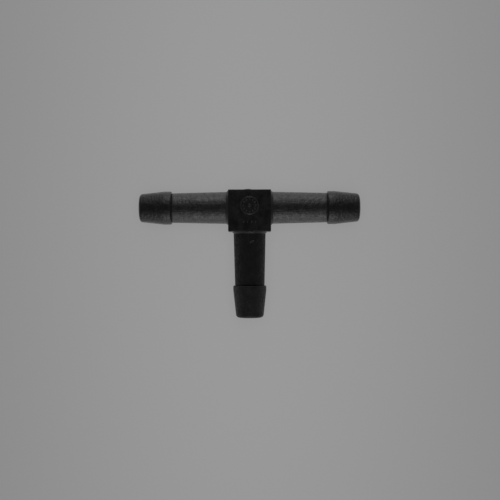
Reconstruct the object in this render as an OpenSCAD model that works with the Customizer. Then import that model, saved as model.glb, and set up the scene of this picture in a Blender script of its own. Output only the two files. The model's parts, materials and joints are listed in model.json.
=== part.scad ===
// Barbed tee connector for small-bore hose: one black plastic moulding, drawn as its sections.
// The run lies along X, the branch points along -Y, and the tee lies flat on its centre block.
// The origin is where the axes of the bores cross. Sizes are in millimetres.

/* [Arms] */
// Distance from the crossing of the bores to each open end
arm_reach = 16.75; // [14:0.05:24]
// Diameter of each barb's land, which stretches the hose
barb_d = 5; // [4.1:0.05:6.5]
// Length of each barb, from its shoulder to its open end
barb_len = 4.9; // [3.5:0.1:7]
// Height of each barb's shoulder above its stem
barb_step = 0.275; // [0.15:0.005:0.4]
// Length of the cylindrical land on each run barb
run_land = 1.1; // [0.6:0.05:2]
// Length of the cylindrical land on the branch barb
branch_land = 0.7; // [0.5:0.05:2]
// Slope of each barb's cone against its axis, in degrees
barb_lead = 6.2; // [3:0.1:8]
// How much wider each stem is at the block than behind its barb
stem_gain = 0.4; // [0.1:0.05:0.8]

/* [Waterway] */
// Bore of the run
run_bore_d = 2.8; // [1.6:0.1:3.4]
// How much smaller the branch bore's radius is, so that its core pin seats on the run's
bore_step = 0.1; // [0.05:0.05:0.4]
// Chamfer at the mouth of each bore
mouth_chamfer = 0.12; // [0.05:0.01:0.2]

/* [Block] */
// How far the block's top, front and back stand out past the stems
block_step = 0.235; // [0.21:0.005:0.8]
// How far the block's sides stand out past the branch stem
block_side = 0.8; // [0.4:0.05:1.5]
// Distance from the run's axis to the block's face on the branch side
block_bottom = 3.65; // [2.9:0.05:5]

/* [Rounding] */
// Radius of the edge round each open end
nose_round = 0.42; // [0.1:0.01:0.6]
// Radius of the edge of each barb's shoulder
shoulder_round = 0.14; // [0.03:0.01:0.2]
// Radius of the cove where each stem meets the block
root_cove = 0.4; // [0.2:0.02:0.8]
// Radius of the block's edges
edge_round = 0.1; // [0.05:0.01:0.2]

/* [Moulding marks] */
// Width of the gate mark where it meets the block
gate_w = 2; // [1:0.1:3]
// Distance of the gate mark to the left of the branch's axis
gate_left = 0.3; // [0:0.1:1]
// Height of the gate mark
gate_h = 0.25; // [0.1:0.05:0.6]
// Thickness of the gate mark
gate_t = 0.8; // [0.4:0.1:1.6]
// Outer diameter of the raised dial on the block's front
dial_d = 2.8; // [2.4:0.1:4]
// Number of dots round the dial
dial_dots = 12; // [6:1:12]
// Number of dots in the row under the dial
row_dots = 4; // [1:1:8]
// Height of the dial and the dots above the block's front
mark_h = 0.06; // [0.04:0.01:0.2]

/* [Hidden] */
$fn = 64;

arc_steps = 6;      // straight steps in a quarter of a rounded edge's outline
gate_top = 0.6;     // width of the gate mark's crest, as a share of its foot
dial_y = 0.25;      // height of the dial's centre above the run's axis
dial_line = 0.18;   // width of the dial's ring
dial_gap = 0.14;    // gap between the dial's ring and its dots
dial_hub_d = 0.5;   // diameter of the dot at the dial's centre
dot_d = 0.26;       // diameter of each small dot
row_y = -2.2;       // height of the row of dots
row_pitch = 0.6;    // spacing of the dots in the row
eps = 0.5;          // how far cutting shapes run past what they cut

branch_bore_d = run_bore_d - 2 * bore_step;
stem_tip_d = barb_d - 2 * barb_step;
stem_root_d = stem_tip_d + stem_gain;

block_top = stem_root_d / 2 + block_step;       // the block's reach above the run's axis, and half its thickness
block_w = stem_root_d + 2 * block_side;
block_h = block_top + block_bottom;

shoulder_at = arm_reach - barb_len;             // distance of each barb's shoulder from the crossing
cove_rise = min(block_step - edge_round, root_cove); // the cove ends where the block's edge rounds off

// Points of a circular arc from angle a0 to a1
function arc(centre, r, a0, a1) =
    [for (i = [0:arc_steps]) let (a = a0 + (a1 - a0) * i / arc_steps) centre + r * [cos(a), sin(a)]];

// Half outline of a stem, radius against distance from the block: cove, then taper to the barb
function stem_outline(bore_r, len) = let (
        swept = acos(1 - cove_rise / root_cove),
        centre = [stem_root_d / 2 + root_cove, root_cove * sin(swept)]
    ) concat(
        [[bore_r, 0]],
        arc(centre, root_cove, 180 + swept, 180),
        [[stem_tip_d / 2, len], [bore_r, len]]
    );

// Half outline of a barb, radius against distance from its shoulder: land, cone and rounded nose
function barb_outline(bore_r, land) = let (
        barb_r = barb_d / 2,
        mouth_r = bore_r + mouth_chamfer,
        nose_r = barb_r - (barb_len - land) * tan(barb_lead),
        round_r = min(nose_round, 0.8 * (nose_r - mouth_r)),
        centre_y = barb_len - round_r,
        touch_y = centre_y + round_r * sin(barb_lead),
        centre_x = barb_r - (touch_y - land) * tan(barb_lead) - round_r * cos(barb_lead)
    ) concat(
        [[bore_r, 0]],
        arc([barb_r - shoulder_round, shoulder_round], shoulder_round, -90, 0),
        [[barb_r, land]],
        arc([centre_x, centre_y], round_r, barb_lead, 90),
        [[mouth_r, barb_len], [bore_r, barb_len - mouth_chamfer]]
    );

// Each arm is drawn along +Z and turned to its port
module to_left() rotate([0, -90, 0]) children();
module to_right() rotate([0, 90, 0]) children();
module to_branch() rotate([90, 0, 0]) children();

module stem(bore_d, block_face)
    translate([0, 0, block_face])
        rotate_extrude() polygon(stem_outline(bore_d / 2, shoulder_at - block_face));

module barb(bore_d, land)
    translate([0, 0, shoulder_at])
        rotate_extrude() polygon(barb_outline(bore_d / 2, land));

// Rectangle from low to high with rounded corners
module rounded_rect(low, high, r) {
    translate([low.x + r, low.y]) square([high.x - low.x - 2 * r, high.y - low.y]);
    translate([low.x, low.y + r]) square([high.x - low.x, high.y - low.y - 2 * r]);
    for (x = [low.x + r, high.x - r], y = [low.y + r, high.y - r])
        translate([x, y]) circle(r);
}

// The block's rounded body: each pair of directions rounds its own four edges
module block_body() {
    x = block_w / 2;
    z = block_top;
    intersection() {
        linear_extrude(2 * z, center = true)
            rounded_rect([-x, -block_bottom], [x, block_top], edge_round);
        rotate([90, 0, 90]) linear_extrude(2 * x, center = true)
            rounded_rect([-block_bottom, -z], [block_top, z], edge_round);
        translate([0, block_top, 0]) rotate([90, 0, 0]) linear_extrude(block_h)
            rounded_rect([-x, -z], [x, z], edge_round);
    }
}

// The three-way waterway through the block
module waterway() {
    to_right() cylinder(d = run_bore_d, h = block_w + 2 * eps, center = true);
    to_branch() cylinder(d = branch_bore_d, h = block_bottom + eps);
}

module centre_block() color("#161617") difference() {
    block_body();
    waterway();
}

module left_stem() color("#1d1d1e") to_left() stem(run_bore_d, block_w / 2);
module right_stem() color("#1d1d1e") to_right() stem(run_bore_d, block_w / 2);
module branch_stem() color("#1d1d1e") to_branch() stem(branch_bore_d, block_bottom);

module left_barb() color("#191919") to_left() barb(run_bore_d, run_land);
module right_barb() color("#191919") to_right() barb(run_bore_d, run_land);
module branch_barb() color("#191919") to_branch() barb(branch_bore_d, branch_land);

// What is left of the gate, on the block's top at the parting plane
module gate_mark() color("#161617")
    translate([-gate_left, block_top, 0]) linear_extrude(gate_t, center = true)
        polygon([
            [-gate_w / 2, 0], [gate_w / 2, 0],
            [gate_top * gate_w / 2, gate_h], [-gate_top * gate_w / 2, gate_h]
        ]);

// A plain raised dial on the block's front: a ring, a circle of dots and a centre dot
module dial_mark() color("#161617")
    translate([0, dial_y, block_top]) {
        difference() {
            cylinder(d = dial_d, h = mark_h);
            translate([0, 0, -eps]) cylinder(d = dial_d - 2 * dial_line, h = mark_h + 2 * eps);
        }
        dot_circle_r = (dial_d - dot_d) / 2 - dial_line - dial_gap;
        for (i = [0:dial_dots - 1])
            rotate(i * 360 / dial_dots) translate([dot_circle_r, 0, 0]) cylinder(d = dot_d, h = mark_h);
        cylinder(d = dial_hub_d, h = mark_h);
    }

// A plain row of raised dots under the dial
module row_mark() color("#161617")
    for (i = [0:row_dots - 1])
        translate([(i - (row_dots - 1) / 2) * row_pitch, row_y, block_top]) cylinder(d = dot_d, h = mark_h);

centre_block();
left_stem();
right_stem();
branch_stem();
left_barb();
right_barb();
branch_barb();
gate_mark();
dial_mark();
row_mark();
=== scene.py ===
# Looks of the barbed tee connector: each section of the moulding gets a fine mesh in place of its CAD node.
# Everything is in metres, in the CAD frame: the run lies along X, the branch points along -Y, and +Z is up.
import json
import math

import bpy
from mathutils import Matrix, Vector, noise


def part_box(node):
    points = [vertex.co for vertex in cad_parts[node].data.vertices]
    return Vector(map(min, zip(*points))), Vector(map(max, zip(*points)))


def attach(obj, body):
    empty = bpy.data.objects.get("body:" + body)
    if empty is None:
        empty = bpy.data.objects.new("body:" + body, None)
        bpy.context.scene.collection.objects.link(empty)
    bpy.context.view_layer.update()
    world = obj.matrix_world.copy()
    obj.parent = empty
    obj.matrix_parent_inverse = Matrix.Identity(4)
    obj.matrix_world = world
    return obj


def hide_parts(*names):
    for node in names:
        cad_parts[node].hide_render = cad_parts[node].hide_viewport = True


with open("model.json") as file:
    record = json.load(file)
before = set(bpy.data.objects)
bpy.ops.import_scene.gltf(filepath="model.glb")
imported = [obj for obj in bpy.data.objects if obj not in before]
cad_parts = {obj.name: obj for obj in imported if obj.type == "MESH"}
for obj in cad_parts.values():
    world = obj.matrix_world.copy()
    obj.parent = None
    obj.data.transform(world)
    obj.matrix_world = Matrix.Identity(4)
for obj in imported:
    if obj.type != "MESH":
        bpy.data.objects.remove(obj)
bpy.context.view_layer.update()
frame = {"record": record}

MM = 0.001

# ---------------------------------------------------------------- sizes taken from the CAD frame
mounts = {m["name"]: m for m in frame["record"]["mounts"]}


def mount_mm(name, key):
    return mounts[name]["dims"][key] * MM


def land_end(name):
    """Distance from the crossing of the bores to the far end of a barb's land."""
    return Vector(mounts[name]["pos_m"]).length + mount_mm(name, "length_mm") / 2


block_low, block_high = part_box("centre_block")
barb_low, barb_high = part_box("right_barb")
gate_low, gate_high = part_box("gate_mark")
dial_low, dial_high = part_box("dial_mark")
row_low, row_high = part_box("row_mark")

BARB_R = mount_mm("run_right_barb", "r_mm")
REACH = barb_high.x
SHOULDER_AT = barb_low.x
RUN_BORE_R = mount_mm("run_bore", "r_mm")
BRANCH_BORE_R = mount_mm("branch_bore", "r_mm")

# sizes that the boxes don't hold, as in the CAD source
STEM_TIP_R = 2.225 * MM
STEM_ROOT_R = 2.425 * MM
EDGE_R = 0.1 * MM
MOUTH = 0.12 * MM
LEAD = math.radians(6.2)
DIAL_DOTS = 12
DIAL_LINE = 0.18 * MM
DIAL_GAP = 0.14 * MM
HUB_R = 0.25 * MM
DOT_R = 0.13 * MM
ROW_DOTS = 4

# softer edges than the CAD's, all inside it or inside its box
COVE_LENGTH = 0.32 * MM             # how far each stem's root flares along the arm
COVE_START = 0.1 * MM               # how far the flare starts inside the block
SHADED_COLLAR = 0.36 * MM                  # how far the block's darker, duller finish runs out along each stem: painted shade where the stem meets the block
SHOULDER_DIP_AND_SHADE = 0.11 * MM                    # how far the same finish runs back from each barb's shoulder, as painted shade there; the stem's dip starts there too
UNDERCUT = 0.06 * MM                # how deep the stem dips there
SHOULDER = (0.14 * MM, 0.24 * MM)   # a barb's shoulder edge, as its reach in radius and along the arm
NOSE = (0.55 * MM, 0.42 * MM)       # a barb's open end, the same way

# finish of the moulding
CREASE = math.radians(38)           # edges sharper than this stay sharp
FLASH_H = 0.02 * MM                 # height of the ridge along the parting line
FLASH_W = 0.05 * MM                 # half its width
FLASH_FADE = 0.6                    # share of the nose's rounding over which the flash runs out
CROWN = 0.05 * MM                   # how far the block's front and back fall off towards two of their edges
CROWN_POWER = 4                     # how late the fall starts on the way there
MARK_SINK = 0.01 * MM               # how far a piece's foot sits inside what it stands on
MARK_WEAR = 0.9                     # height of the ring and dots where least worn, as a share of the CAD's
WEAR_SPREAD = 0.8                   # share of that height that is gone where most worn
WEAR_SIZE = 0.9 * MM                # size of the worn patches

# the torn gate
GATE_LEAN = 1.1                     # above 1, the mound's crest sits past its middle
GATE_FULL = 0.6                     # below 1, the mound is full towards its ends
GATE_FLAT = 0.3                     # below 1, the mound is broad across the block's thickness
GATE_TORN = 0.08                    # share of its height that is torn away at most
GATE_GRAIN = 0.22 * MM              # size of the tears

# a short burr on the branch's front, where the moulding was scraped
SCUFF_AT = 5.2 * MM                 # its distance from the crossing
SCUFF_SIDE = 0.3 * MM               # its distance from the branch's axis
SCUFF_SIZE = (0.42 * MM, 0.13 * MM, 0.06 * MM)   # half its length, half its width, its height
SCUFF_SINK = 0.02 * MM              # how far its foot sits inside the stem
SCUFF_TURN = math.radians(28)

# fineness of the meshes
RING_STEPS = 160
FLASH_STEPS = (0.45, 0.9)           # extra points of a ring, as shares of the flash's half width
STEM_RINGS = 28
COVE_RINGS = 10
LAND_RINGS = 3
CONE_RINGS = 12
ARC_STEPS = 8
EDGE_STEPS = 4
FACE_STEPS = 24
SAME_POINT = 0.0001 * MM            # points closer than this are one vertex
CUT_PAST = 1 * MM                   # how far cutting rods run past the block


def make_arm(way, root, bore, barb_mount):
    return {"way": Vector(way), "root": root, "bore": bore, "land": land_end(barb_mount)}


ARMS = {
    "left": make_arm((-1, 0, 0), block_high.x, RUN_BORE_R, "run_left_barb"),
    "right": make_arm((1, 0, 0), block_high.x, RUN_BORE_R, "run_right_barb"),
    "branch": make_arm((0, -1, 0), -block_low.y, BRANCH_BORE_R, "branch_barb"),
}


# ---------------------------------------------------------------- mesh helpers
def add_object(name, vertices, faces):
    """An object with a mesh of these vertices and faces."""
    mesh = bpy.data.meshes.new(name)
    mesh.from_pydata([tuple(v) for v in vertices], [], faces)
    mesh.validate()
    mesh.update()
    thing = bpy.data.objects.new(name, mesh)
    bpy.context.collection.objects.link(thing)
    return thing


def add_piece(name, vertices, faces, finish, node=None):
    """A smooth-shaded mesh piece, which replaces a CAD node if one is given."""
    piece = add_object(name, vertices, faces)
    finish_piece(piece, finish, node)
    return piece


def finish_piece(piece, finish, node):
    """Shades a piece, gives it its finish and ties it to the frame."""
    mesh = piece.data
    mesh.shade_smooth()
    mesh.set_sharp_from_angle(angle=CREASE)
    mesh.materials.clear()
    mesh.materials.append(finish)
    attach(piece, "root")
    if node:
        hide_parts(node)


def arc(centre, reach, start, end, steps=ARC_STEPS):
    """Points of an elliptical arc with the given (radius, distance) half axes, angles in degrees."""
    angles = [math.radians(start + (end - start) * i / steps) for i in range(steps + 1)]
    return [(centre[0] + reach[0] * math.cos(a), centre[1] + reach[1] * math.sin(a)) for a in angles]


def straight(start, end, steps):
    """Points from start to end, without either."""
    return [
        tuple(s + (e - s) * i / steps for s, e in zip(start, end))
        for i in range(1, steps)
    ]


def ring_angles(radius):
    """Even steps round a ring, with extra ones at each side's parting line."""
    angles = {2 * math.pi * i / RING_STEPS for i in range(RING_STEPS)}
    for side in (0, math.pi):
        for share in FLASH_STEPS:
            angles.add((side + share * FLASH_W / radius) % (2 * math.pi))
            angles.add((side - share * FLASH_W / radius) % (2 * math.pi))
    return sorted(angles)


def revolve(outer, inner, way):
    """Vertices and faces of a turned arm section; outer and inner run along the arm as (radius, distance).
    A fine ridge of flash follows the parting plane, z = 0, on the outer surface."""
    side = way.cross(Vector((0, 0, 1)))
    up = Vector((0, 0, 1))
    angles = ring_angles(BARB_R)
    vertices, faces = [], []
    profile = [(r, d, True) for r, d in outer] + [(r, d, False) for r, d in reversed(inner)]
    nose = REACH - NOSE[1]
    for radius, along, outside in profile:
        for a in angles:
            r = radius
            if outside:
                away = abs(math.sin(a)) * radius
                fade = min(1, max(0, 1 - (along - nose) / (NOSE[1] * FLASH_FADE)))
                r += FLASH_H * fade * max(0, 1 - away / FLASH_W)
            vertices.append(way * along + side * (r * math.cos(a)) + up * (r * math.sin(a)))
    n = len(angles)
    count = len(profile)
    for i in range(count):
        for j in range(n):
            k = (j + 1) % n
            m = (i + 1) % count
            faces.append((i * n + j, m * n + j, m * n + k, i * n + k))
    return vertices, faces


# ---------------------------------------------------------------- materials
def material(name):
    """A material, its node tree and its empty Principled shader."""
    m = bpy.data.materials.new(name)
    m.use_nodes = True
    nodes = m.node_tree.nodes
    nodes.clear()
    out = nodes.new("ShaderNodeOutputMaterial")
    shader = nodes.new("ShaderNodeBsdfPrincipled")
    m.node_tree.links.new(shader.outputs["BSDF"], out.inputs["Surface"])
    return m, m.node_tree, shader


NOISE_LOW = 0.3                     # a noise mostly stays between these two
NOISE_HIGH = 0.7


def noise_node(tree, coords, size, detail=2.0, roughness=0.5):
    """A noise whose coarsest patches have the given size."""
    n = tree.nodes.new("ShaderNodeTexNoise")
    n.inputs["Scale"].default_value = 1 / size
    n.inputs["Detail"].default_value = detail
    n.inputs["Roughness"].default_value = roughness
    tree.links.new(coords, n.inputs["Vector"])
    return n.outputs["Fac"]


def span(tree, value, low, high, start=NOISE_LOW, end=NOISE_HIGH, ease="LINEAR"):
    """value from start..end mapped to low..high."""
    n = tree.nodes.new("ShaderNodeMapRange")
    n.interpolation_type = ease
    n.inputs["From Min"].default_value = start
    n.inputs["From Max"].default_value = end
    n.inputs["To Min"].default_value = low
    n.inputs["To Max"].default_value = high
    tree.links.new(value, n.inputs["Value"])
    return n.outputs["Result"]


def ramp(tree, value, stops):
    """A grey that follows value through the given (value, grey) stops."""
    n = tree.nodes.new("ShaderNodeValToRGB")
    elements = n.color_ramp.elements
    while len(elements) < len(stops):
        elements.new(0.5)
    for element, (position, grey) in zip(elements, stops):
        element.position = position
        element.color = (grey, grey, grey, 1)
    tree.links.new(value, n.inputs["Fac"])
    return n.outputs["Color"]


def bump(tree, height, depth, normal=None):
    """A normal that follows the height, which runs from 0 to depth."""
    n = tree.nodes.new("ShaderNodeBump")
    n.inputs["Strength"].default_value = 1.0
    n.inputs["Distance"].default_value = depth
    tree.links.new(height, n.inputs["Height"])
    if normal is not None:
        tree.links.new(normal, n.inputs["Normal"])
    return n.outputs["Normal"]


def math_node(tree, operation, first, second=0):
    """The result of a math node; each input is a socket or a number."""
    n = tree.nodes.new("ShaderNodeMath")
    n.operation = operation
    for socket, value in zip(n.inputs, (first, second)):
        if isinstance(value, (int, float)):
            socket.default_value = value
        else:
            tree.links.new(value, socket)
    return n.outputs["Value"]


def stretched(tree, coords, axis, factor):
    """The coordinates squeezed along an axis (0, 1 or 2), so that a noise made from them runs along it."""
    n = tree.nodes.new("ShaderNodeMapping")
    scale = [1.0, 1.0, 1.0]
    scale[axis] = 1 / factor
    n.inputs["Scale"].default_value = scale
    tree.links.new(coords, n.inputs["Vector"])
    return n.outputs["Vector"]


CLOUD_SIZE = 1.1 * MM               # size of the uneven patches in the plastic's tone
WAVE_SIZE = 2.4 * MM                # size and depth of the sinks in its surface
WAVE_DEPTH = 0.012 * MM
STREAK_WIDTH = 0.2 * MM             # width of the marks that run along an arm
ROUGH_SPREAD = 0.1                  # how far the roughness goes either way


def black_plastic(name, shade, rough, gloss, grain, streak=None, patchy=0.5):
    """Black nylon. Its tone is patchy and its gloss uneven. grain is the mould texture's (size, depth), and
    streak is the (axis, length, depth) of fine marks along an axis, their length in widths."""
    m, tree, shader = material(name)
    coords = tree.nodes.new("ShaderNodeTexCoord").outputs["Object"]
    cloud = noise_node(tree, coords, CLOUD_SIZE)
    grain_size, grain_depth = grain
    fine = noise_node(tree, coords, grain_size, roughness=0.45)
    wave = noise_node(tree, coords, WAVE_SIZE, detail=1.0)
    tone = ramp(tree, cloud, [(NOISE_LOW, shade * (1 - patchy)), (NOISE_HIGH, shade * (1 + patchy))])
    tree.links.new(tone, shader.inputs["Base Color"])
    gloss_break = span(tree, fine, rough - ROUGH_SPREAD, rough + ROUGH_SPREAD)
    tree.links.new(gloss_break, shader.inputs["Roughness"])
    shader.inputs["Specular IOR Level"].default_value = gloss
    normal = bump(tree, wave, WAVE_DEPTH)
    if streak:
        axis, length, depth = streak
        lines = noise_node(tree, stretched(tree, coords, axis, length), STREAK_WIDTH)
        normal = bump(tree, lines, depth, normal)
    tree.links.new(bump(tree, fine, grain_depth, normal), shader.inputs["Normal"])
    return m


BLOCK_FINISH = black_plastic(
    "black_plastic_block",
    shade=0.0022, rough=0.36, gloss=0.45, grain=(0.6 * MM, 0.035 * MM), patchy=0.9,
)
MARK_FINISH = black_plastic(
    "black_plastic_worn_mark",
    shade=0.003, rough=0.28, gloss=0.9, grain=(0.4 * MM, 0.03 * MM),
)
RUN_STEM_FINISH = black_plastic(
    "black_plastic_run_stem",
    shade=0.003, rough=0.33, gloss=0.75, grain=(0.55 * MM, 0.08 * MM), streak=(0, 8, 0.03 * MM),
)
# The branch stem is the run stems' nylon with a darker tone: painted shade, as its sides face away from the
# bright sides of the room.
SHADED_BRANCH_STEM_FINISH = black_plastic(
    "black_plastic_branch_stem_shaded",
    shade=0.002, rough=0.6, gloss=0.32, grain=(0.5 * MM, 0.12 * MM), streak=(1, 8, 0.05 * MM),
)
RUN_BARB_FINISH = black_plastic(
    "black_plastic_run_barb",
    shade=0.003, rough=0.28, gloss=0.5, grain=(0.4 * MM, 0.06 * MM),
)
BRANCH_BARB_FINISH = black_plastic(
    "black_plastic_branch_barb",
    shade=0.003, rough=0.56, gloss=0.42, grain=(0.5 * MM, 0.12 * MM),
)


# ---------------------------------------------------------------- the arms
def smooth(t):
    """0 at 0 and 1 at 1, level at both ends."""
    t = min(1, max(0, t))
    return t * t * (3 - 2 * t)


def make_stem(side):
    """A stem, which flares out where it meets the block, with the block's darker, duller finish at both ends
    as painted shade of those corners.
    """
    arm = ARMS[side]
    root, bore = arm["root"], arm["bore"]
    crest = block_high.z - MARK_SINK
    flare_end = root + COVE_LENGTH

    def stem_r(along):
        return STEM_ROOT_R + (STEM_TIP_R - STEM_ROOT_R) * (along - root) / (SHOULDER_AT - root)

    outer = [(crest, root - COVE_START)]
    for i in range(COVE_RINGS + 1):
        along = root + COVE_LENGTH * i / COVE_RINGS
        outer.append((crest + (stem_r(along) - crest) * smooth(i / COVE_RINGS), along))
    tip = (STEM_TIP_R - UNDERCUT, SHOULDER_AT)
    foot = (stem_r(SHOULDER_AT - SHOULDER_DIP_AND_SHADE), SHOULDER_AT - SHOULDER_DIP_AND_SHADE)
    outer += straight((stem_r(flare_end), flare_end), foot, STEM_RINGS) + [foot, tip]
    inner = [(bore, root - COVE_START), (bore, SHOULDER_AT)]
    vertices, faces = revolve(outer, inner, arm["way"])
    # The branch stem's darker tone is painted shade.
    finish = SHADED_BRANCH_STEM_FINISH if side == "branch" else RUN_STEM_FINISH
    stem = add_piece(f"{side}_stem_skin", vertices, faces, finish, f"{side}_stem")
    # Painted shade: the stem's ends by the block and behind the shoulder get the block's darker, duller
    # finish.
    stem.data.materials.append(BLOCK_FINISH)
    for face in stem.data.polygons:
        if not root + SHADED_COLLAR < face.center.dot(arm["way"]) < SHOULDER_AT - SHOULDER_DIP_AND_SHADE:
            face.material_index = 1
    return stem


def make_barb(side):
    """A barb: soft shoulder, land, cone, rounded nose and chamfered mouth."""
    arm = ARMS[side]
    land = (BARB_R, arm["land"])
    mouth_r = arm["bore"] + MOUTH
    edge_at = REACH - NOSE[1]
    edge_r = BARB_R - (edge_at - arm["land"]) * math.tan(LEAD)
    shoulder = arc((BARB_R - SHOULDER[0], SHOULDER_AT + SHOULDER[1]), SHOULDER, -90, 0)
    nose = arc((edge_r - NOSE[0], edge_at), NOSE, 0, 90)
    outer = shoulder + straight(shoulder[-1], land, LAND_RINGS) + [land]
    outer += straight(land, nose[0], CONE_RINGS) + nose
    inner = [(arm["bore"], SHOULDER_AT), (arm["bore"], REACH - MOUTH), (mouth_r, REACH)]
    vertices, faces = revolve(outer, inner, arm["way"])
    finish = BRANCH_BARB_FINISH if side == "branch" else RUN_BARB_FINISH
    return add_piece(f"{side}_barb_skin", vertices, faces, finish, f"{side}_barb")


for side in ARMS:
    make_stem(side)
    make_barb(side)


# ---------------------------------------------------------------- the block
def grid_steps(half):
    """Places of grid lines from -half to half: fine on the rounded edges, even between."""
    flat = half - EDGE_R
    edge = [flat + EDGE_R * math.tan(math.radians(45) * i / EDGE_STEPS) for i in range(1, EDGE_STEPS + 1)]
    even = [-flat + 2 * flat * i / FACE_STEPS for i in range(FACE_STEPS + 1)]
    return [-e for e in reversed(edge)] + even + edge


def rounded_box(low, high):
    """Vertices and faces of a box with rounded edges and slightly crowned front and back."""
    centre = (low + high) / 2
    half = (high - low) / 2
    steps = [grid_steps(half[i]) for i in range(3)]
    index, vertices, faces = {}, [], []

    def vertex(p):
        key = tuple(round(c / SAME_POINT) for c in p)
        if key not in index:
            flat = Vector([max(-(half[i] - EDGE_R), min(half[i] - EDGE_R, p[i])) for i in range(3)])
            out = Vector(p) - flat
            q = flat + out.normalized() * EDGE_R
            fall = CROWN * abs(q.y / half.y) ** CROWN_POWER * min(1, abs(q.z / half.z)) ** 2
            q.z -= math.copysign(fall, q.z)
            index[key] = len(vertices)
            vertices.append(q + centre)
        return index[key]

    for axis in range(3):
        u, v = (axis + 1) % 3, (axis + 2) % 3
        for sign in (-1, 1):
            for i in range(len(steps[u]) - 1):
                for j in range(len(steps[v]) - 1):
                    corners = []
                    for a, b in ((i, j), (i + 1, j), (i + 1, j + 1), (i, j + 1)):
                        p = [0, 0, 0]
                        p[axis], p[u], p[v] = sign * half[axis], steps[u][a], steps[v][b]
                        corners.append(vertex(p))
                    faces.append(corners if sign > 0 else corners[::-1])
    return vertices, faces


def rod(name, radius, start, end, steps=128):
    """A plain solid rod, for cutting."""
    way = (end - start).normalized()
    turn = way.to_track_quat("Z", "X").to_matrix()
    vertices, faces = [], []
    for point in (start, end):
        for i in range(steps):
            a = 2 * math.pi * (i + 0.5) / steps
            vertices.append(point + turn @ Vector((radius * math.cos(a), radius * math.sin(a), 0)))
    for i in range(steps):
        k = (i + 1) % steps
        faces.append((i, k, steps + k, steps + i))
    faces.append(tuple(reversed(range(steps))))
    faces.append(tuple(range(steps, 2 * steps)))
    return add_object(name, vertices, faces)


def cut(piece, cutters):
    """Cuts each cutter from the piece, for good, and drops the cutters."""
    for cutter in cutters:
        modifier = piece.modifiers.new(cutter.name, "BOOLEAN")
        modifier.operation = "DIFFERENCE"
        modifier.solver = "EXACT"
        modifier.object = cutter
    graph = bpy.context.evaluated_depsgraph_get()
    mesh = bpy.data.meshes.new_from_object(piece.evaluated_get(graph))
    piece.modifiers.clear()
    piece.data = mesh
    for cutter in cutters:
        bpy.data.objects.remove(cutter)


def make_block():
    """The block with its waterway cut through."""
    vertices, faces = rounded_box(block_low, block_high)
    piece = add_object("centre_block_skin", vertices, faces)
    left, right = Vector((block_low.x - CUT_PAST, 0, 0)), Vector((block_high.x + CUT_PAST, 0, 0))
    crossing, front = Vector((0, 0, 0)), Vector((0, block_low.y - CUT_PAST, 0))
    run = rod("run_bore_cut", RUN_BORE_R, left, right)
    branch = rod("branch_bore_cut", BRANCH_BORE_R, crossing, front)
    cut(piece, [run, branch])
    finish_piece(piece, BLOCK_FINISH, "centre_block")
    return piece


make_block()


# ---------------------------------------------------------------- marks, gate and flash
def dome(centre, radius, height, steps=24, rings=5, base=block_high.z - MARK_SINK):
    """A low round dome on the block's front, or at another height, closed underneath."""
    vertices, faces = [], []
    for ring in range(rings):
        t = math.radians(90) * ring / rings
        for i in range(steps):
            a = 2 * math.pi * i / steps
            out = Vector((math.cos(a), math.sin(a), 0)) * radius * math.cos(t)
            vertices.append(Vector((centre[0], centre[1], base)) + out + Vector((0, 0, height * math.sin(t))))
    vertices.append(Vector((centre[0], centre[1], base + height)))
    top = len(vertices) - 1
    for ring in range(rings - 1):
        for i in range(steps):
            k = (i + 1) % steps
            faces.append((ring * steps + i, ring * steps + k, (ring + 1) * steps + k, (ring + 1) * steps + i))
    last = (rings - 1) * steps
    faces += [(last + i, last + (i + 1) % steps, top) for i in range(steps)]
    faces.append(tuple(reversed(range(steps))))
    return vertices, faces


def worn(place):
    """The share of a mark's height that wear has left at a place, at most MARK_WEAR."""
    patch = 0.5 + 0.5 * noise.noise(Vector((place.x, place.y, 0)) / WEAR_SIZE)
    return MARK_WEAR * (1 - WEAR_SPREAD * patch)


def hoop(centre, radius, width, height, steps=128, across=8):
    """A low rounded ring on the block's front, unevenly worn and closed underneath."""
    vertices, faces = [], []
    base = block_high.z - MARK_SINK
    for i in range(steps):
        a = 2 * math.pi * i / steps
        way = Vector((math.cos(a), math.sin(a), 0))
        left = height * worn(centre + way * radius)
        for j in range(across + 1):
            t = math.pi * j / across
            place = centre + way * (radius + width / 2 * math.cos(t))
            vertices.append(Vector((place.x, place.y, base + left * math.sin(t))))
    row = across + 1
    for i in range(steps):
        k = (i + 1) % steps
        for j in range(row):
            m = (j + 1) % row
            faces.append((i * row + j, k * row + j, k * row + m, i * row + m))
    return vertices, faces


def join(shapes):
    """The vertices and faces of several shapes as one mesh."""
    vertices, faces = [], []
    for more_vertices, more_faces in shapes:
        start = len(vertices)
        vertices += more_vertices
        faces += [tuple(start + i for i in face) for face in more_faces]
    return vertices, faces


def make_dial():
    """The dial that CAD draws sharp, worn soft: a ring, a circle of dots and a hub."""
    centre = (dial_low + dial_high) / 2
    ring_r = (dial_high.x - dial_low.x) / 2 - DIAL_LINE / 2
    dots_r = ring_r - DIAL_LINE / 2 - DIAL_GAP - DOT_R
    full = dial_high.z - block_high.z + MARK_SINK
    shapes = [hoop(centre, ring_r, DIAL_LINE, full), dome(centre, HUB_R, full)]
    for i in range(DIAL_DOTS):
        a = 2 * math.pi * i / DIAL_DOTS
        place = centre + Vector((math.cos(a), math.sin(a), 0)) * dots_r
        shapes.append(dome(place, DOT_R, full * worn(place)))
    vertices, faces = join(shapes)
    add_piece("dial_skin", vertices, faces, MARK_FINISH, "dial_mark")


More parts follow.
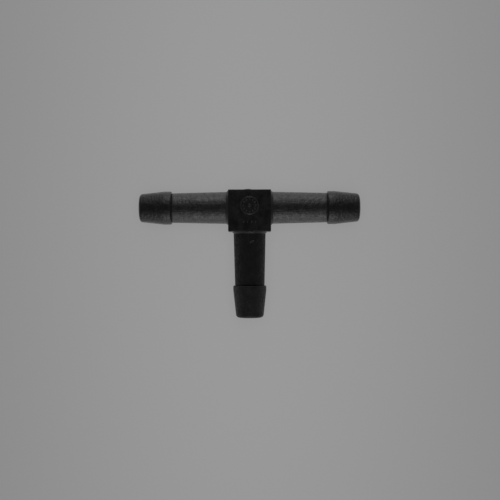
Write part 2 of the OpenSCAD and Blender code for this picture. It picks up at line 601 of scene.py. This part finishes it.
def make_row():
    """The row of dots under the dial."""
    centre = (row_low + row_high) / 2
    pitch = (row_high.x - row_low.x - 2 * DOT_R) / (ROW_DOTS - 1)
    full = row_high.z - block_high.z + MARK_SINK
    places = [centre + Vector(((i - (ROW_DOTS - 1) / 2) * pitch, 0, 0)) for i in range(ROW_DOTS)]
    vertices, faces = join([dome(place, DOT_R, full * worn(place)) for place in places])
    add_piece("row_skin", vertices, faces, MARK_FINISH, "row_mark")


def make_gate(steps_x=48, steps_z=20):
    """The torn stub of the gate: a low uneven mound on the block's top, closed underneath."""
    low, high = gate_low, gate_high
    vertices, faces = [], []
    for i in range(steps_x + 1):
        for j in range(steps_z + 1):
            u, v = i / steps_x, j / steps_z
            x, z = low.x + (high.x - low.x) * u, low.z + (high.z - low.z) * v
            rise = math.sin(math.pi * u ** GATE_LEAN) ** GATE_FULL * math.sin(math.pi * v) ** GATE_FLAT
            torn = 1 - GATE_TORN * (0.5 + 0.5 * noise.noise(Vector((x, 0, z)) / GATE_GRAIN))
            vertices.append(Vector((x, low.y - MARK_SINK + (high.y - low.y + MARK_SINK) * rise * torn, z)))
    row = steps_z + 1
    for i in range(steps_x):
        for j in range(steps_z):
            faces.append((i * row + j, i * row + j + 1, (i + 1) * row + j + 1, (i + 1) * row + j))
    rim = [i * row for i in range(steps_x)] + [steps_x * row + j for j in range(steps_z)]
    rim += [i * row + steps_z for i in range(steps_x, 0, -1)] + [j for j in range(steps_z, 0, -1)]
    middle = len(vertices)
    vertices.append(Vector(((low.x + high.x) / 2, low.y - MARK_SINK, (low.z + high.z) / 2)))
    faces += [(here, after, middle) for here, after in zip(rim, rim[1:] + rim[:1])]
    add_piece("gate_skin", vertices, faces, BLOCK_FINISH, "gate_mark")


def make_scuff():
    """A short slanted burr on the branch stem, where the moulding was scraped."""
    root, arm_way = ARMS["branch"]["root"], ARMS["branch"]["way"]
    stem_r = STEM_ROOT_R + (STEM_TIP_R - STEM_ROOT_R) * (SCUFF_AT - root) / (SHOULDER_AT - root)
    skin = math.sqrt(stem_r ** 2 - SCUFF_SIDE ** 2)
    vertices, faces = dome(Vector((0, 0, 0)), SCUFF_SIZE[1], SCUFF_SIZE[2], base=0)
    turn = Matrix.Rotation(SCUFF_TURN, 3, "Z")
    place = arm_way * SCUFF_AT + Vector((SCUFF_SIDE, 0, skin - SCUFF_SINK))
    stretch = SCUFF_SIZE[0] / SCUFF_SIZE[1]
    vertices = [place + turn @ Vector((v.x * stretch, v.y, v.z)) for v in vertices]
    add_piece("branch_scuff", vertices, faces, MARK_FINISH)


def make_block_flash():
    """The parting line round the block at half its thickness, a fine ridge of flash."""
    reach_x, top, bottom = block_high.x - EDGE_R, block_high.y - EDGE_R, block_low.y + EDGE_R
    corners = [(reach_x, top, 0), (-reach_x, top, 90), (-reach_x, bottom, 180), (reach_x, bottom, 270)]
    vertices = []
    for x, y, start in corners:
        for i in range(ARC_STEPS + 1):
            a = math.radians(start + 90 * i / ARC_STEPS)
            out = Vector((math.cos(a), math.sin(a), 0))
            skin = Vector((x, y, 0)) + out * EDGE_R
            vertices.append(skin + out * FLASH_H)
            vertices.append(skin - out * MARK_SINK + Vector((0, 0, FLASH_W)))
            vertices.append(skin - out * MARK_SINK - Vector((0, 0, FLASH_W)))
    count = len(vertices) // 3
    faces = []
    for i in range(count):
        k = (i + 1) % count
        for j in range(3):
            m = (j + 1) % 3
            faces.append((3 * i + j, 3 * k + j, 3 * k + m, 3 * i + m))
    add_piece("block_flash", vertices, faces, BLOCK_FINISH)


make_dial()
make_row()
make_gate()
make_scuff()
make_block_flash()

# ---------------------------------------------------------------- light, floor and camera
VIEW_WIDTH = 76.35 * MM   # width of the picture at the height of the bores' axes
VIEW_HEIGHT = 145 * MM    # camera's height above them
VIEW_CENTRE = Vector((0.05 * MM, -6.44 * MM, 0))
VIEW_TURN = math.radians(-0.2)  # how far the picture is turned
SENSOR = 36.0             # width of the camera's sensor, in millimetres
CARD_REACH = 1200 * MM    # how far the card runs in each direction
CARD = 0.34               # the card's grey
CARD_GLOW = 0.8           # share of the card's look that the object can't shade
CARD_ROUGH = 0.35         # its satin, which shows in what the object reflects
CARD_IOR = 3.0
SKY = 0.08                # radiance of the room overhead and along the run, where white paper is 1
SIDE = 1.8                # how much brighter it is low down on either side of the run
SIDE_DROP = 2.6           # how quickly it darkens from there to overhead
SIDE_SPREAD = 0.28        # how far the two bright sides spread along the run, as a direction's X
SIDE_REST = 0.2           # share of the brightness that is left past there
END = 0.3                 # how much brighter it is low down past the ends of the run
END_DROP = 5.0            # how quickly that darkens towards overhead
PAINTED_POOL_SIZE = 60 * MM       # how far along the run the painted pool of light on the card falls off
PAINTED_POOL_SHAPE = 0.35         # below 1, the painted pool of light is longer across the run
PAINTED_POOL_EDGE = 0.72          # share of the card's glow that is left outside the painted pool of light
HORIZON = 0.64            # brightness of the room that the camera sees, as a share of the card's grey
FILL_HEIGHT = 500 * MM
FILL_SIZE = 500 * MM
FILL_LIGHT = 0.7          # strength of the lamp overhead


def make_floor():
    """A plain grey card. What is seen of it is mostly its own glow, in a soft painted pool of light round the
    object.
    """
    corners = [(x * CARD_REACH, y * CARD_REACH, block_low.z) for x, y in ((-1, -1), (1, -1), (1, 1), (-1, 1))]
    card = add_object("card", corners, [(0, 1, 2, 3)])
    m, tree, lit = material("grey_card")
    glow = tree.nodes.new("ShaderNodeBsdfPrincipled")
    path = tree.nodes.new("ShaderNodeLightPath")
    for shader, base, strength in ((lit, CARD, 0), (glow, 0, 1)):
        shader.inputs["Base Color"].default_value = (base, base, base, 1)
        shader.inputs["Roughness"].default_value = CARD_ROUGH
        tree.links.new(path.outputs["Is Glossy Ray"], shader.inputs["Specular IOR Level"])
        shader.inputs["IOR"].default_value = CARD_IOR
        shader.inputs["Emission Color"].default_value = (CARD, CARD, CARD, 1)
        shader.inputs["Emission Strength"].default_value = strength
    place = tree.nodes.new("ShaderNodeSeparateXYZ")
    tree.links.new(tree.nodes.new("ShaderNodeTexCoord").outputs["Object"], place.inputs["Vector"])
    along = math_node(tree, "POWER", place.outputs["X"], 2)
    across = math_node(tree, "POWER", math_node(tree, "MULTIPLY", place.outputs["Y"], PAINTED_POOL_SHAPE), 2)
    away = math_node(tree, "SQRT", math_node(tree, "ADD", along, across))
    # Painted pool of light: the card's glow is brightest round the object and falls off away from it.
    painted_pool = span(tree, away, 1, PAINTED_POOL_EDGE, 0, PAINTED_POOL_SIZE, "SMOOTHSTEP")
    tree.links.new(painted_pool, glow.inputs["Emission Strength"])
    seen = math_node(tree, "MAXIMUM", path.outputs["Is Camera Ray"], path.outputs["Is Glossy Ray"])
    seen = math_node(tree, "MAXIMUM", seen, path.outputs["Is Transmission Ray"])
    mix = tree.nodes.new("ShaderNodeMixShader")
    tree.links.new(math_node(tree, "MULTIPLY", seen, CARD_GLOW), mix.inputs["Fac"])
    tree.links.new(lit.outputs["BSDF"], mix.inputs[1])
    tree.links.new(glow.outputs["BSDF"], mix.inputs[2])
    out = next(n for n in tree.nodes if n.type == "OUTPUT_MATERIAL")
    tree.links.new(mix.outputs["Shader"], out.inputs["Surface"])
    card.data.materials.append(m)


def make_fill():
    """A large overhead lamp that lights the plastic's own colour and leaves no glare on it.
    A small lamp as strong would give white paper a radiance of FILL_LIGHT, and this one gives 3/4 of that."""
    data = bpy.data.lights.new("fill", "AREA")
    data.shape = "SQUARE"
    data.size = FILL_SIZE
    data.energy = math.pi ** 2 * FILL_HEIGHT ** 2 * FILL_LIGHT
    lamp = bpy.data.objects.new("fill", data)
    lamp.location = (0, 0, FILL_HEIGHT)
    lamp.visible_camera = False
    lamp.visible_glossy = False
    bpy.context.collection.objects.link(lamp)


def make_world():
    """A dim room, brighter low down on both sides of the run, which shows in the plastic's gloss.
    Where the camera sees it, past the card, it is a grey like the card's far end."""
    world = bpy.data.worlds.new("studio")
    world.use_nodes = True
    tree = world.node_tree
    way = tree.nodes.new("ShaderNodeSeparateXYZ")
    tree.links.new(tree.nodes.new("ShaderNodeTexCoord").outputs["Generated"], way.inputs["Vector"])
    low = math_node(tree, "POWER", math_node(tree, "ABSOLUTE", way.outputs["Y"]), SIDE_DROP)
    along = math_node(tree, "ABSOLUTE", way.outputs["X"])
    spread = span(tree, along, SIDE, SIDE * SIDE_REST, 0, SIDE_SPREAD, "SMOOTHSTEP")
    sides = math_node(tree, "MULTIPLY", low, spread)
    ends = math_node(tree, "MULTIPLY", math_node(tree, "POWER", along, END_DROP), END)
    lit = math_node(tree, "ADD", sides, ends)
    room = tree.nodes["Background"]
    room.inputs["Color"].default_value = (1, 1, 1, 1)
    tree.links.new(math_node(tree, "ADD", lit, SKY), room.inputs["Strength"])
    seen = tree.nodes.new("ShaderNodeBackground")
    seen.inputs["Color"].default_value = (CARD, CARD, CARD, 1)
    seen.inputs["Strength"].default_value = HORIZON
    path = tree.nodes.new("ShaderNodeLightPath")
    through = math_node(tree, "MAXIMUM", path.outputs["Is Camera Ray"], path.outputs["Is Transmission Ray"])
    mix = tree.nodes.new("ShaderNodeMixShader")
    tree.links.new(through, mix.inputs["Fac"])
    tree.links.new(room.outputs["Background"], mix.inputs[1])
    tree.links.new(seen.outputs["Background"], mix.inputs[2])
    tree.links.new(mix.outputs["Shader"], tree.nodes["World Output"].inputs["Surface"])
    bpy.context.scene.world = world


def make_camera():
    """The camera looks straight down at the tee."""
    data = bpy.data.cameras.new("camera")
    data.sensor_width = SENSOR
    data.lens = SENSOR * VIEW_HEIGHT / VIEW_WIDTH
    data.clip_start = 10 * MM
    camera = bpy.data.objects.new("camera", data)
    camera.location = VIEW_CENTRE + Vector((0, 0, VIEW_HEIGHT))
    camera.rotation_euler = (0, 0, VIEW_TURN)
    bpy.context.collection.objects.link(camera)
    bpy.context.scene.camera = camera


make_floor()
make_fill()
make_world()
make_camera()
bpy.context.scene.view_settings.view_transform = "Standard"
